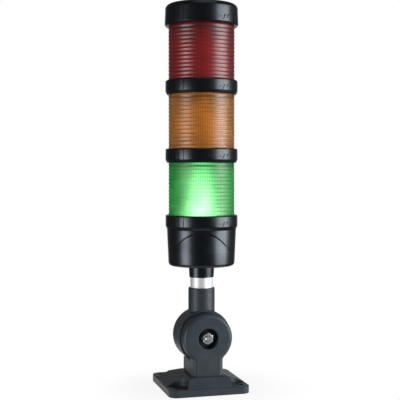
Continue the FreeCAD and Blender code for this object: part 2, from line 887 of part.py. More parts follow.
def collar(label, seat):
    """Black collar of a module: bayonet socket below, floor and seat of the lens above."""
    body = new_body(label, seat, turned=True)
    turn_about(body, "Revolution", outline(body, "XZ_Plane", socket_section()))
    rim = value("collar_radius")
    top = value("collar_height")
    round_edges(
        body, "collar_round", lambda edge: is_ring(edge, rim) and near(edge.BoundBox.ZMin, top)
    )
    holes = circles(body, "XY_Plane", pin_centres(), "pin_radius + tube_fit", FLOOR_TOP)
    pocket(body, holes)
    cut_bayonet_slots(body)
    cut_grips(body, "collar_radius", "collar_height", "collar_taper")
    return body


def lens(label, seat, top):
    """Coloured lens: ring ribs outside, upright flutes inside, a spigot with lugs on top."""
    blank = new_body(f"{label}_blank", node=False)
    shoulder = f"{top} - seat_gap"
    ledge = f"{SPIGOT_BORE} - plate_ledge"
    ribs = int(value("rib_count"))
    section = [(LENS_BORE, FLOOR_TOP), ("lens_radius", FLOOR_TOP)]
    for rib in range(ribs):
        foot = f"collar_height + ({shoulder} - collar_height) * {rib} / {ribs}"
        waist = f"collar_height + ({shoulder} - collar_height) * {rib + 0.5} / {ribs}"
        section += [("lens_radius", foot), ("lens_radius - rib_depth", waist)]
    section += [
        ("lens_radius", shoulder),
        ("spigot_radius", shoulder),
        ("spigot_radius", f"{top} + spigot_height"),
        (SPIGOT_BORE, f"{top} + spigot_height"),
        (SPIGOT_BORE, f"{top} + {PLATE_FOOT}"),
        (ledge, f"{top} + {PLATE_FOOT}"),
        (ledge, f"{top} - ledge_depth"),
        (LENS_BORE, f"{top} - 2 * ledge_depth"),
    ]
    turn_about(blank, "Revolution", outline(blank, "XZ_Plane", section))
    add_spigot_lugs(blank, top)

    flutes = doc.addObject("Part::Feature", f"{label}_flutes")
    count = int(value("flute_count"))
    low, high = value(FLOOR_TOP) + OVERRUN, value(f"{top} - 2 * ledge_depth") - OVERRUN
    bore, depth = value(LENS_BORE), value("flute_depth")
    corners = []
    for step in range(2 * count + 1):
        radius = bore + depth * (step % 2)
        angle = math.pi * step / count
        spot = FreeCAD.Vector(radius * math.cos(angle), radius * math.sin(angle), low)
        corners.append(spot)
    star = Part.Face(Part.makePolygon(corners))
    flutes.Shape = star.extrude(FreeCAD.Vector(0, 0, high - low))

    cut = doc.addObject("Part::Cut", label)
    cut.Base = blank
    cut.Tool = flutes
    place(cut, seat, turned=True)
    nodes.append(cut)
    return cut


def led_board(label, seat):
    """Round circuit board on the floor of the collar."""
    body = new_body(label, f"{seat} + {FLOOR_TOP}", turned=True)
    pad(body, circles(body, "XY_Plane", [("0", "0")], "board_radius"), "board_thick")
    holes = circles(body, "XY_Plane", pin_centres(), "pin_radius + tube_fit", "board_thick")
    pocket(body, holes)
    middle = circles(body, "XY_Plane", [("0", "0")], "floor_hole_radius", "board_thick")
    pocket(body, middle)
    return body


def leds(label, seat):
    """Ring of LED packages on the board."""
    body = new_body(label, f"{seat} + {BOARD_TOP}", turned=True)
    half = "led_size / 2"
    package = rectangle(
        f"led_circle - {half}", f"led_circle + {half}", f"-{half}", half
    )
    sketch = outline(body, "XY_Plane", package)
    first = pad(body, sketch, "led_height")
    ring_pattern(body, [first], (sketch, ["N_Axis"]), "led_count")
    return body


def light_guide(label, seat, top):
    """White hollow cone round the contact pins that spreads the light of the ring."""
    body = new_body(label, f"{seat} + {BOARD_TOP}", turned=True)
    height = f"{top} + {PLATE_FOOT} - guide_gap - ({BOARD_TOP})"
    section = [
        ("guide_radius - guide_wall", "0"),
        ("guide_radius", "0"),
        ("guide_top_radius", height),
        ("guide_top_radius - guide_wall", height),
    ]
    turn_about(body, "Revolution", outline(body, "XZ_Plane", section))
    return body


def seal(label, seat):
    """Flat rubber ring in the roof of a socket, just clear of the spigot below."""
    foot = "spigot_height + seat_gap"
    body = new_body(label, f"{seat} + {foot}", turned=True)
    height = f"{ROOF} + seal_sunk - ({foot})"
    ring = rectangle(SEAL_INNER, SEAL_OUTER, "0", height)
    turn_about(body, "Revolution", outline(body, "XZ_Plane", ring))
    return body


def signal_module(colour, seat, top):
    """One tier of the stack: everything that turns with its collar."""
    collar(f"{colour}_collar", seat)
    seal(f"{colour}_seal", seat)
    lens(f"{colour}_lens", seat, top)
    led_board(f"{colour}_led_board", seat)
    leds(f"{colour}_leds", seat)
    light_guide(f"{colour}_light_guide", seat, top)
    contact_plate(f"{colour}_contact_plate", f"{seat} + {top}")
    foot = "spigot_height - plate_drop + pin_gap"
    length = f"{top} + {PLATE_TOP} - ({foot})"
    contact_pins(f"{colour}_contact_pins", f"{seat} + {foot}", length)


# ---------------------------------------------------------------- cap


def top_cap():
    """Closed cap with a slightly flared skirt and the same bayonet socket."""
    body = new_body("top_cap", CAP_SEAT, turned=True)
    inside = "cap_radius - cap_wall"
    section = [
        (SOCKET_RADIUS, "0"),
        ("cap_lip_radius - cap_lip_bevel", "0"),
        ("cap_lip_radius", "cap_lip_height"),
        ("cap_radius", "cap_flare"),
        ("cap_radius", "cap_height"),
        ("0", "cap_height"),
        ("0", "cap_height - cap_wall"),
        (f"{inside} - cap_round / 2", "cap_height - cap_wall"),
        (inside, "cap_height - cap_wall - cap_round / 2"),
        (inside, FLOOR_TOP),
        (f"{SEAL_INNER} - cap_shelf / 2", FLOOR_TOP),
        (f"{SEAL_INNER} - cap_shelf / 2", ROOF),
        (SEAL_INNER, ROOF),
        (SEAL_INNER, f"{ROOF} + seal_sunk"),
        (SEAL_OUTER, f"{ROOF} + seal_sunk"),
        (SEAL_OUTER, ROOF),
        (SOCKET_RADIUS, ROOF),
    ]
    turn_about(body, "Revolution", outline(body, "XZ_Plane", section))
    rim = value("cap_radius")
    top = value("cap_height")
    round_edges(
        body, "cap_round", lambda edge: is_ring(edge, rim) and near(edge.BoundBox.ZMin, top)
    )
    cut_bayonet_slots(body)
    return body


bracket_foot()
pivot_bolt()
pivot_washer()
pivot_nut()
pivot_arm()
arm_grub_screws()
cable_grommet()
tube()
base_housing()
neck_grub_screws()
contact_plate("base_contact_plate", BASE_SEAT)
contact_pins(
    "base_contact_pins",
    f"{BASE_SEAT} + {PLATE_FOOT} - base_pin_depth",
    "plate_thick_top + base_pin_depth",
)
terminal_block()
terminal_screws()
signal_module("green", BASE_SEAT, GREEN_TOP)
signal_module("amber", AMBER_SEAT, UPPER_TOP)
signal_module("red", RED_SEAT, UPPER_TOP)
top_cap()
seal("cap_seal", CAP_SEAT)
doc.recompute()

for item in doc.Objects:
    if "Invalid" in item.State or "Error" in item.State:
        raise RuntimeError(f"{item.Label} failed: {item.State}")
    if item.TypeId in ("PartDesign::Pocket", "PartDesign::Groove"):
        if item.Shape.Volume > item.BaseFeature.Shape.Volume - 1e-6:
            raise RuntimeError(f"{item.Name} of {item.getParent().Label} cuts nothing")
for node in nodes:
    if node.Shape.isNull() or not node.Shape.isValid():
        raise RuntimeError(f"{node.Label} has no valid shape")

os.makedirs("parts", exist_ok=True)
for node in nodes:
    node.Shape.exportStep(f"parts/{node.Label}.step")
    box = node.Shape.BoundBox
    print(f"{node.Label}: {len(node.Shape.Solids)} solids, {node.Shape.Volume:.0f} mm3, "
          f"z {box.ZMin:.1f} to {box.ZMax:.1f}")
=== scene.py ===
import math

import bmesh
import bpy
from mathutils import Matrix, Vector


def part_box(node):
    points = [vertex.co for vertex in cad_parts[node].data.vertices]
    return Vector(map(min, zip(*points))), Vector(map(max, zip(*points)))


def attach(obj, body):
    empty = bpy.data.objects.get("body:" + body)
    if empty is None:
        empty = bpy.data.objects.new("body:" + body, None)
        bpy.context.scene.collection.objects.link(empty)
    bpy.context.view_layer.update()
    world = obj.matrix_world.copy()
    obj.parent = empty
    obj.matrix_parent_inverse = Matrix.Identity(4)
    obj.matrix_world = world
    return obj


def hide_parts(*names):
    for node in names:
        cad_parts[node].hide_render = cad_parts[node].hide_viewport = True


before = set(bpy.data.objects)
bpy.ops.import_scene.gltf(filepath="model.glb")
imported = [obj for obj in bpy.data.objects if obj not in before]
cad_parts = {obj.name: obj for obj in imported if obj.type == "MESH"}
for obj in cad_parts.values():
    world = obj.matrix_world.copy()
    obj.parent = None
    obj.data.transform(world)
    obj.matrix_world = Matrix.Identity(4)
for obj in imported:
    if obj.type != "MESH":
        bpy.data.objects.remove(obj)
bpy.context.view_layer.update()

# A stack light on a tilting foot: black collars and cap, ribbed lenses, aluminium tube.
# Blender works in metres; the sizes below are in millimetres and go through MM.
MM = 0.001
COLOURS = ("green", "amber", "red")

# The stack is turned clockwise on its tube by this much, seen from above
STACK_AZIMUTH = -15.5

# Sides of a turned piece: one for each degree where grooves are cut in it
FINE_SIDES = 360
SIDES = 144

# Slack of a test on a place, in metres, and the distance within which points are one
SLACK = 0.01 * MM
WELD = 1e-7


# ---------------------------------------------------------------- camera, light, stage

# Lens and sensor in millimetres, the shift as a share of the picture
CAMERA_AZIMUTH = -15.5
CAMERA_DISTANCE = 900 * MM
CAMERA_LEVEL = 216 * MM
MIDDLE = Vector((0, 0, 186 * MM))
SENSOR_WIDTH = 36
FOCAL_LENGTH = 82.4
SIDE_SHIFT = -0.00375


def towards(azimuth, distance, level):
    """A place round the stack: azimuth 0 is straight in front, positive to the right."""
    turn = math.radians(azimuth)
    return Vector((math.sin(turn) * distance, -math.cos(turn) * distance, level))


def aim(item):
    """Turn a camera or lamp towards the middle of the stack."""
    item.rotation_euler = (MIDDLE - item.location).to_track_quat("-Z", "Y").to_euler()


def camera():
    """Camera a little to the left of the front and a little above the middle."""
    data = bpy.data.cameras.new("camera")
    data.sensor_width = SENSOR_WIDTH
    data.lens = FOCAL_LENGTH
    data.shift_x = SIDE_SHIFT
    item = bpy.data.objects.new("camera", data)
    bpy.context.scene.collection.objects.link(item)
    item.location = towards(CAMERA_AZIMUTH, CAMERA_DISTANCE, CAMERA_LEVEL)
    aim(item)
    bpy.context.scene.camera = item


def softbox(name, azimuth, distance, level, width, height, power):
    """Rectangular lamp that faces the stack, placed by its azimuth from the camera.

    Lengths are in metres, the power in watts.
    """
    data = bpy.data.lights.new(name, "AREA")
    data.shape = "RECTANGLE"
    data.size = width
    data.size_y = height
    data.energy = power
    item = bpy.data.objects.new(name, data)
    bpy.context.scene.collection.objects.link(item)
    item.location = towards(CAMERA_AZIMUTH + azimuth, distance, level)
    aim(item)


def linear(colour):
    """Linear colour of an sRGB hex value."""
    parts = [int(colour[start:start + 2], 16) / 255 for start in (1, 3, 5)]
    curve = [
        part / 12.92 if part <= 0.04045 else ((part + 0.055) / 1.055) ** 2.4
        for part in parts
    ]
    return (*curve, 1)


def add(tree, kind, inputs=None, **settings):
    """Node with its settings; each input is a value, or the socket that feeds it."""
    node = tree.nodes.new(kind)
    for name, setting in settings.items():
        setattr(node, name, setting)
    for name, source in (inputs or {}).items():
        if isinstance(source, bpy.types.NodeSocket):
            tree.links.new(source, node.inputs[name])
        else:
            node.inputs[name].default_value = source
    return node


# Brightness of the room, of its rear wall as a lamp, and of that wall as gloss shows it.
# The wall fades out over 32 degrees from straight behind the stack, given as a cosine
ROOM_LEVEL = 0.08
WALL_LEVEL = 0.3
WALL_IN_GLOSS = 0.6
WALL_EDGE = 0.85


def studio():
    """Dim room with a white wall behind, which also shows through the lenses and in metal."""
    world = bpy.data.worlds.new("studio")
    bpy.context.scene.world = world
    world.use_nodes = True
    tree = world.node_tree
    tree.nodes.clear()
    way = add(tree, "ShaderNodeTexCoord").outputs["Generated"]
    forward = towards(CAMERA_AZIMUTH, -1, 0)
    depth = add(
        tree, "ShaderNodeVectorMath", {0: way, 1: forward}, operation="DOT_PRODUCT"
    ).outputs["Value"]
    wall = add(
        tree,
        "ShaderNodeMapRange",
        {"Value": depth, "From Min": WALL_EDGE, "From Max": 1.0},
        interpolation_type="SMOOTHSTEP",
    ).outputs["Result"]
    room = add(
        tree, "ShaderNodeMix", {"Factor": wall, "A": ROOM_LEVEL, "B": WALL_LEVEL}
    ).outputs["Result"]
    path = add(tree, "ShaderNodeLightPath").outputs
    glossy = add(
        tree,
        "ShaderNodeMath",
        {0: path["Is Glossy Ray"], 1: WALL_IN_GLOSS},
        operation="MULTIPLY",
    ).outputs[0]
    mirrored = add(
        tree, "ShaderNodeMath", {0: wall, 1: glossy}, operation="MULTIPLY"
    ).outputs[0]
    seen = add(
        tree,
        "ShaderNodeMath",
        {0: path["Is Camera Ray"], 1: path["Is Transmission Ray"]},
        operation="MAXIMUM",
    ).outputs[0]
    white = add(
        tree, "ShaderNodeMath", {0: seen, 1: mirrored}, operation="MAXIMUM"
    ).outputs[0]
    strength = add(
        tree, "ShaderNodeMix", {"Factor": white, "A": room, "B": 1.0}
    ).outputs["Result"]
    background = add(
        tree, "ShaderNodeBackground", {"Color": (1, 1, 1, 1), "Strength": strength}
    )
    add(tree, "ShaderNodeOutputWorld", {"Surface": background.outputs[0]})


# Round table top. Beside the foot a tenth of the paper shows, with the shadow on it;
# between these two radii it fades into pure white
TABLE_RADIUS = 150 * MM
FADE_START = 50 * MM
FADE_END = 120 * MM
GLOW_BY_FOOT = 0.9


def floor():
    """White table top that keeps the shadow of the foot and fades into the white room."""
    bpy.ops.object.select_all(action="DESELECT")
    bpy.ops.mesh.primitive_circle_add(
        vertices=96, radius=TABLE_RADIUS, fill_type="NGON", location=(0, 0, -0.05 * MM)
    )
    item = bpy.context.object
    item.name = "table_top"
    bpy.ops.object.transform_apply()
    material = bpy.data.materials.new("white_table_top")
    material.use_nodes = True
    tree = material.node_tree
    tree.nodes.clear()
    place = add(tree, "ShaderNodeTexCoord").outputs["Object"]
    reach = add(
        tree, "ShaderNodeVectorMath", {0: place}, operation="LENGTH"
    ).outputs["Value"]
    far = add(
        tree,
        "ShaderNodeMapRange",
        {
            "Value": reach,
            "From Min": FADE_START,
            "From Max": FADE_END,
            "To Min": GLOW_BY_FOOT,
            "To Max": 1.0,
        },
        interpolation_type="SMOOTHSTEP",
    ).outputs["Result"]
    path = add(tree, "ShaderNodeLightPath").outputs
    seen = path["Is Camera Ray"]
    for way in ("Is Glossy Ray", "Is Transmission Ray"):
        seen = add(
            tree, "ShaderNodeMath", {0: seen, 1: path[way]}, operation="MAXIMUM"
        ).outputs[0]
    glow = add(tree, "ShaderNodeMath", {0: far, 1: seen}, operation="MULTIPLY").outputs[0]
    paper = add(tree, "ShaderNodeBsdfDiffuse", {"Color": linear("#f4f4f4")}).outputs[0]
    white = add(tree, "ShaderNodeEmission", {"Color": (1, 1, 1, 1)}).outputs[0]
    mixed = add(tree, "ShaderNodeMixShader", {0: glow, 1: paper, 2: white}).outputs[0]
    add(tree, "ShaderNodeOutputMaterial", {"Surface": mixed})
    item.data.materials.append(material)


# ---------------------------------------------------------------- materials


# A noise hardly leaves this range, so it is stretched from here over the wanted one
NOISE_LOW = 0.3
NOISE_HIGH = 0.7


def surface(name, shades, patch, rough=None, relief=None, stretch=None, sockets=None):
    """Material whose base colour wanders between two close shades.

    A noise is given by the size of its lumps in millimetres and its detail: patch is that of
    the shades. rough is the lowest and highest roughness and its noise, relief the depth of
    the bump in millimetres, its strength and its noise. stretch scales the pattern along
    each axis, and sockets are constants of the shader.
    """
    material = bpy.data.materials.new(name)
    material.use_nodes = True
    tree = material.node_tree
    shader = tree.nodes["Principled BSDF"]
    for socket, setting in (sockets or {}).items():
        shader.inputs[socket].default_value = setting
    place = add(tree, "ShaderNodeTexCoord", name="place").outputs["Object"]
    if stretch:
        place = add(tree, "ShaderNodeMapping", {"Vector": place, "Scale": stretch}).outputs[0]
    noises = {"shade": patch}
    ranges = {"shade": (0, 1)}
    if rough:
        noises["gloss"] = rough[2:]
        ranges["gloss"] = rough[:2]
    if relief:
        noises["height"] = relief[2:]
    values = {}
    for part, (size, detail) in noises.items():
        values[part] = add(
            tree,
            "ShaderNodeTexNoise",
            {"Vector": place, "Scale": 1 / (size * MM), "Detail": detail},
            name=f"{part} noise",
        ).outputs["Fac"]
    for part, (least, most) in ranges.items():
        values[part] = add(
            tree,
            "ShaderNodeMapRange",
            {
                "Value": values[part],
                "From Min": NOISE_LOW,
                "From Max": NOISE_HIGH,
                "To Min": least,
                "To Max": most,
            },
            name=part,
        ).outputs["Result"]
    colour = add(
        tree,
        "ShaderNodeMix",
        {"Factor": values["shade"], "A": linear(shades[0]), "B": linear(shades[1])},
        data_type="RGBA",
    ).outputs["Result"]
    tree.links.new(colour, shader.inputs["Base Color"])
    if rough:
        tree.links.new(values["gloss"], shader.inputs["Roughness"])
    if relief:
        depth, strength = relief[:2]
        bump = add(
            tree,
            "ShaderNodeBump",
            {"Height": values["height"], "Distance": depth * MM, "Strength": strength},
        )
        tree.links.new(bump.outputs[0], shader.inputs["Normal"])
    return material


# Painted light and dark lines round a lens, in its base colour, for the refraction of the
# prisms: 1.7 mm apart on its radius of 32 mm
PAINTED_PRISM_LINES = 120
PAINTED_LINE_CONTRAST = 0.3
GLOSS_SPREAD = 0.03


def polycarbonate(colour, shades, rough, density, depth):
    """Polycarbonate tinted all through, so it is deeper where the wall is seen edge on.

    depth is the colour that thick plastic takes, density how soon it takes it.
    """
    material = surface(
        f"{colour}_polycarbonate",
        shades,
        (14, 2),
        rough=(rough - GLOSS_SPREAD, rough + GLOSS_SPREAD, 6, 2),
        # Flow marks of the moulding
        relief=(0.02, 0.2, 2.5, 1),
        sockets={"IOR": 1.585, "Transmission Weight": 0.96},
    )
    tree = material.node_tree
    # The light and dark that the upright prisms inside, and their images in the far wall,
    # refract are painted into the base colour as fine lines
    across, along, _ = add(
        tree, "ShaderNodeSeparateXYZ", {0: tree.nodes["place"].outputs["Object"]}
    ).outputs
    turn = add(tree, "ShaderNodeMath", {0: along, 1: across}, operation="ARCTAN2").outputs[0]
    count = add(
        tree, "ShaderNodeMath", {0: turn, 1: PAINTED_PRISM_LINES}, operation="MULTIPLY"
    ).outputs[0]
    lines = add(tree, "ShaderNodeMath", {0: count}, operation="SINE").outputs[0]
    patches = tree.nodes["shade noise"].outputs["Fac"]
    shade = add(
        tree,
        "ShaderNodeMath",
        {0: lines, 1: PAINTED_LINE_CONTRAST, 2: patches},
        operation="MULTIPLY_ADD",
    ).outputs[0]
    # The painted refraction lines take the place of the plain shade noise
    tree.links.new(shade, tree.nodes["shade"].inputs["Value"])
    pigment = add(
        tree, "ShaderNodeVolumeAbsorption", {"Color": linear(depth), "Density": density}
    ).outputs[0]
    tree.links.new(pigment, tree.nodes["Material Output"].inputs["Volume"])
    return material


def solder_mask():
    """White solder mask on glass epoxy: chalky gloss with the weave faintly through it."""
    material = surface(
        "white_solder_mask", ("#e4e6e2", "#eceeea"), (3, 2), rough=(0.3, 0.42, 3, 2)
    )
    tree = material.node_tree
    # Weave of the glass cloth, 0.5 mm a thread
    weave = add(
        tree,
        "ShaderNodeTexChecker",
        {"Vector": tree.nodes["place"].outputs["Object"], "Scale": 1 / (0.5 * MM)},
    ).outputs["Fac"]
    tree.links.new(weave, tree.nodes["shade"].inputs["Value"])
    tree.nodes.remove(tree.nodes["shade noise"])
    return material


# The green lens swallows red and blue, so light that leaves it nearly white starts out pink
LED_LIGHT = "#ff85ac"


def lit(name, strength):
    """Opal acrylic or silicone with the light of the green LEDs in it."""
    return surface(
        name,
        ("#9ad8a0", "#a8e0ae"),
        (8, 2),
        sockets={
            "IOR": 1.49,
            "Emission Color": linear(LED_LIGHT),
            "Emission Strength": strength,
        },
    )


def lit_guide(foot, top, strong, weak):
    """Lit light guide between two levels: brightest at the LEDs, fading upwards."""
    material = lit("lit_opal_acrylic", strong)
    tree = material.node_tree
    level = add(
        tree, "ShaderNodeSeparateXYZ", {0: tree.nodes["place"].outputs["Object"]}
    ).outputs["Z"]
    glow = add(
        tree,
        "ShaderNodeMapRange",
        {"Value": level, "From Min": foot, "From Max": top, "To Min": strong, "To Max": weak},
        interpolation_type="SMOOTHSTEP",
    ).outputs["Result"]
    tree.links.new(glow, tree.nodes["Principled BSDF"].inputs["Emission Strength"])
    return material


# ---------------------------------------------------------------- modelling


def alone(piece):
    """Make this the active piece and the only one selected."""
    bpy.ops.object.select_all(action="DESELECT")
    piece.select_set(True)
    bpy.context.view_layer.objects.active = piece


def edit(piece):
    """Edit mode on this piece alone, with nothing selected in it."""
    alone(piece)
    bpy.ops.object.mode_set(mode="EDIT")
    bpy.ops.mesh.select_all(action="DESELECT")


def pick(piece, kind, wanted):
    """Select the vertices, edges or faces that a test on their middle and direction picks."""
    bpy.ops.mesh.select_mode(type={"verts": "VERT", "edges": "EDGE", "faces": "FACE"}[kind])
    bpy.ops.mesh.select_all(action="DESELECT")
    mesh = bmesh.from_edit_mesh(piece.data)
    for item in getattr(mesh, kind):
        if kind == "verts":
            item.select_set(wanted(item.co))
        elif kind == "edges":
            first, second = (vertex.co for vertex in item.verts)
            item.select_set(wanted((first + second) / 2, (second - first).normalized()))
        else:
            item.select_set(wanted(item.calc_center_median(), item.normal))
    mesh.select_flush_mode()
    bmesh.update_edit_mesh(piece.data)


def leave():
    """Back to object mode."""
    bpy.ops.object.mode_set(mode="OBJECT")


def near(length, millimetres):
    """Whether a length in metres is that many millimetres."""
    return abs(length - millimetres * MM) < SLACK


def smooth(piece, degrees=35):
    """Smooth shading except over sharp edges, and the place applied to the mesh."""
    alone(piece)
    bpy.ops.object.transform_apply()
    bpy.ops.object.shade_smooth_by_angle(angle=math.radians(degrees))


def finish_with(piece, kind, **settings):
    """Add a modifier and apply it."""
    modifier = piece.modifiers.new(kind.title(), kind)
    for name, setting in settings.items():
        setattr(modifier, name, setting)
    alone(piece)
    bpy.ops.object.modifier_apply(modifier=modifier.name)


def cut(piece, tool, operation="DIFFERENCE"):
    """Boolean with a tool that is then thrown away."""
    finish_with(piece, "BOOLEAN", object=tool, operation=operation, solver="EXACT")
    bpy.data.objects.remove(tool, do_unlink=True)


def rounded(section, rounds, steps=4):
    """Section in which the corners named in rounds, by index, become arcs of that radius."""
    points = []
    for index, corner in enumerate(section):
        if index not in rounds:
            points.append(corner)
            continue
        here = Vector(corner)
        before = (Vector(section[index - 1]) - here).normalized()
        after = (Vector(section[(index + 1) % len(section)]) - here).normalized()
        half = before.angle(after) / 2
        centre = here + (before + after).normalized() * rounds[index] / math.sin(half)
        run = rounds[index] / math.tan(half)
        start, end = here + before * run - centre, here + after * run - centre
        for step in range(steps + 1):
            arm = start.lerp(end, step / steps).normalized() * rounds[index]
            points.append(tuple(centre + arm))
    return points


def turned(name, section, sides=SIDES):
    """Turned piece: a circle extruded ring by ring along its section, in millimetres."""
    radius, level = section[0]
    bpy.ops.object.select_all(action="DESELECT")
    bpy.ops.mesh.primitive_circle_add(
        vertices=sides, radius=radius * MM, location=(0, 0, level * MM)
    )
    piece = bpy.context.object
    piece.name = name
    bpy.ops.object.transform_apply()
    bpy.ops.object.mode_set(mode="EDIT")
    bpy.ops.mesh.select_mode(type="EDGE")
    bpy.ops.mesh.select_all(action="SELECT")
    for next_radius, next_level in section[1:] + section[:1]:
        rise = (0, 0, (next_level - level) * MM)
        bpy.ops.mesh.extrude_region_move(TRANSFORM_OT_translate={"value": rise})
        grow = next_radius / radius
        bpy.ops.transform.resize(value=(grow, grow, 1), center_override=(0, 0, 0))
        radius, level = next_radius, next_level
    bpy.ops.mesh.select_all(action="SELECT")
    bpy.ops.mesh.remove_doubles(threshold=WELD)
    bpy.ops.mesh.normals_make_consistent(inside=False)
    bpy.ops.object.mode_set(mode="OBJECT")
    return piece


def span(node):
    """Lowest and highest level of a CAD node in millimetres, and its largest radius."""
    low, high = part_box(node)
    return low[2] / MM, high[2] / MM, max(high[0] - low[0], high[1] - low[1]) / 2 / MM


def dress(piece, body, material, slot, *nodes):
    """Give a piece its material and its body, and hide the CAD nodes that it stands for; its
    slot is not used.
    """
    piece.data.materials.clear()
    piece.data.materials.append(material)
    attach(piece, body)
    if nodes:
        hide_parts(*nodes)


def azimuth_of(place):
    """Angle of a place about the stack, in degrees: 0 at its front, positive to the right."""
    return math.degrees(math.atan2(place.x, -place.y)) - STACK_AZIMUTH


# Faces of a side wall lean less than this, as the rise of their normal
STEEP = 0.3


def groove(piece, azimuth, low, high, depth):
    """Sink one column of faces between two levels by some depth, all in millimetres."""

    def wanted(middle, normal):
        upright = abs(normal.z) < STEEP
        outside = normal.x * middle.x + normal.y * middle.y > 0
        turn = (azimuth_of(middle) - azimuth + 180) % 360 - 180
        column = abs(turn) < 180 / FINE_SIDES
        return upright and outside and column and low * MM < middle.z < high * MM

    edit(piece)
    pick(piece, "faces", wanted)
    bpy.ops.mesh.extrude_region_shrink_fatten(
        TRANSFORM_OT_shrink_fatten={"value": -depth * MM}
    )
    leave()


# ---------------------------------------------------------------- bayonet, in millimetres

# Spigot on top of a tier. The seat round it is a gap below the foot of the next tier
SPIGOT_RADIUS = 30.9
SPIGOT_BORE = 29.3
SPIGOT_HEIGHT = 5.6
SEAT_GAP = 0.1
RECESS_DEPTH = 2

# Ledge inside it, with a slope below it down to the wall
LEDGE_BORE = 28
LEDGE_THICK = 2
LEDGE_SLOPE = 2

# Foot of the next tier: the bore over the spigot, and the web that closes it
BAYONET_BORE = 31.2
WEB_FOOT = 6.2
WEB_TOP = 8.0


def spigot(tip):
    """Section of the spigot that ends at this level, from its seat to the recess inside."""
    return [
        (SPIGOT_RADIUS, tip - SPIGOT_HEIGHT - SEAT_GAP),
        (SPIGOT_RADIUS, tip),
        (SPIGOT_BORE, tip),
        (SPIGOT_BORE, tip - RECESS_DEPTH),
    ]


# ---------------------------------------------------------------- collars and cap

# Raised strokes stand this proud, with their edges broken
MARK_PROUD = 0.5
MARK_EDGE = 0.12

# Twist-lock mark: a bar, a hook that turns back on itself and a stop stroke. Each stroke has
# an azimuth, a shift along the side, a level, a width, a height and a tilt in degrees
MARK = (
    (32.0, 0, 0.4, 2.4, 0.7, 0),
    (37.5, 0, 0.2, 0.7, 3.8, 12),
    (37.5, 1.1, 2.0, 2.0, 0.7, 0),
    (37.5, -1.3, -1.6, 2.0, 0.7, 0),
    (44.5, 0, 1.2, 0.7, 3.4, 20),
)


def stroke(middle_azimuth, radius, middle_level, width, height, tilt):
    """One raised stroke of a mark, lying on the side of a round piece; lengths in mm."""
    bpy.ops.object.select_all(action="DESELECT")
    bpy.ops.mesh.primitive_cube_add(size=1)
    item = bpy.context.object
    item.scale = (width * MM, 2 * MARK_PROUD * MM, height * MM)
    bpy.ops.object.transform_apply()
    item.rotation_euler = (0, math.radians(tilt), 0)
    bpy.ops.object.transform_apply()
    azimuth = middle_azimuth + STACK_AZIMUTH
    item.rotation_euler = (0, 0, math.radians(azimuth))
    item.location = towards(azimuth, radius * MM, middle_level * MM)
    bpy.ops.object.transform_apply()
    finish_with(item, "BEVEL", width=MARK_EDGE * MM, segments=2)
    return item


def turning_mark(radius, middle_level):
    """The strokes of the twist-lock mark on a side of this radius."""
    degrees = math.degrees(1 / radius)
    return [
        stroke(azimuth + shift * degrees, radius, middle_level + level, width, height, tilt)
        for azimuth, shift, level, width, height, tilt in MARK
    ]


def join(piece, others):
    """One mesh out of a piece and what is moulded on it."""
    alone(piece)
    for item in others:
        item.select_set(True)
    bpy.ops.object.join()


# Alignment line and grip grooves: azimuths in degrees, depths in millimetres
LINE_AZIMUTH = -29.0
LINE_DEPTH = 0.6
GRIP_PITCH = 9.0
GRIP_COUNT = 4
GRIP_DEPTH = 0.35


def grooves(piece, foot, top, taper):
    """Alignment line and grip grooves, in two groups on opposite sides."""
    for side in (0, 180):
        groove(piece, side + LINE_AZIMUTH, foot, top, LINE_DEPTH)
        for grip in range(GRIP_COUNT):
            azimuth = side + LINE_AZIMUTH - (grip + 1) * GRIP_PITCH
            groove(piece, azimuth, foot + taper, top, GRIP_DEPTH)


# Collar: chamfer round its foot, play round the lens, hole for the wires, level of the mark
COLLAR_LIP = 1.4
COLLAR_TAPER = 3.2
LENS_PLAY = 0.05
WIRE_HOLE = 2.5
MARK_SHARE = 0.42


def collar(colour, material):
    """Black collar of a module, open below for the bayonet and above for the lens."""
    foot, top, radius = span(f"{colour}_collar")
    socket = span(f"{colour}_lens")[2] + LENS_PLAY
    section = [
        (BAYONET_BORE, foot),
        (radius - COLLAR_LIP, foot),
        (radius, foot + COLLAR_TAPER),
        (radius, top),
        (socket, top),
        (socket, foot + WEB_TOP),
        (WIRE_HOLE, foot + WEB_TOP),
        (WIRE_HOLE, foot + WEB_FOOT),
        (BAYONET_BORE, foot + WEB_FOOT),
    ]
    section = rounded(section, {1: 0.6, 2: 1.2, 3: 1.5, 4: 0.3})
    piece = turned(f"{colour}_collar_shell", section, FINE_SIDES)
    grooves(piece, foot, top, COLLAR_TAPER)
    join(piece, turning_mark(radius, foot + MARK_SHARE * (top - foot)))
    smooth(piece)
    dress(piece, f"{colour}_module", material, "housing_plastic", f"{colour}_collar")


# Cap: the skirt flares to a lip that turns in, the top has a broad round
CAP_FLARE = 0.5
SKIRT_TOP = 14
LIP_ROUND = 1.6
LIP_TURN = 1.0
CAP_WALL = 2.6
CAP_ROUND = 5.0
CAP_GRIP_FOOT = 3.0
CAP_MARK_LEVEL = 5.2
CAP_MARK_SINK = 0.1

# Its middle is closed inside this radius
CAP_MIDDLE = 4

# Short notches in opposite sides of the round, ending this far below the flat top
NOTCH_AZIMUTH = -20.0
NOTCH_DROP = 1.5
NOTCH_DEPTH = 0.5


